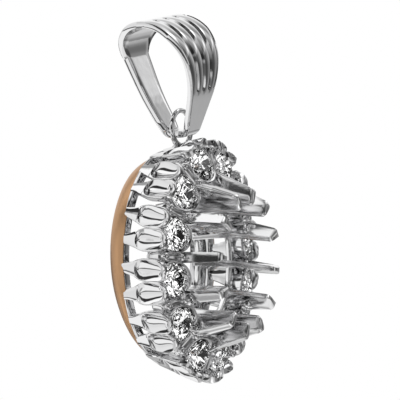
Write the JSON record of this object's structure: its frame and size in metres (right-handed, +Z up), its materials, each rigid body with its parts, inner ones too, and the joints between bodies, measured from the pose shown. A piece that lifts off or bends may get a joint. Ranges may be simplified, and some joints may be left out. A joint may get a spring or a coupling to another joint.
{
  "type": "pendant semi-mount",
  "caption": "Oval cluster pendant mount with a halo of small round stones, an empty pronged head for an oval centre stone and a ridged tapered bail.",
  "frame": {"origin": "on the inside of the bail's crown, where the chain sits", "axes": "+Z up, the front with the stones and the prongs faces -Y, +X to the right seen from the front"},
  "size_m": [0.0137, 0.0099, 0.028],
  "materials": {
    "white_gold": "polished, rhodium plated",
    "rose_gold": "satin polish",
    "brilliant": "faceted, clear"
  },
  "bodies": {
    "bail": {"bail": "white_gold"},
    "pendant": {"setting": "white_gold", "back_band": "rose_gold", "stone_01": "brilliant", "stone_02": "brilliant", "stone_03": "brilliant", "stone_04": "brilliant", "stone_05": "brilliant", "stone_06": "brilliant", "stone_07": "brilliant", "stone_08": "brilliant", "stone_09": "brilliant", "stone_10": "brilliant", "stone_11": "brilliant", "stone_12": "brilliant"}
  },
  "joints": [
    {"name": "pendant_swing", "type": "hinge", "parent": "bail", "child": "pendant", "pos_m": [0.00186, -0.00068, -0.00771], "axis": [1, 0, 0], "range_deg": [-34, 34]}
  ]
}
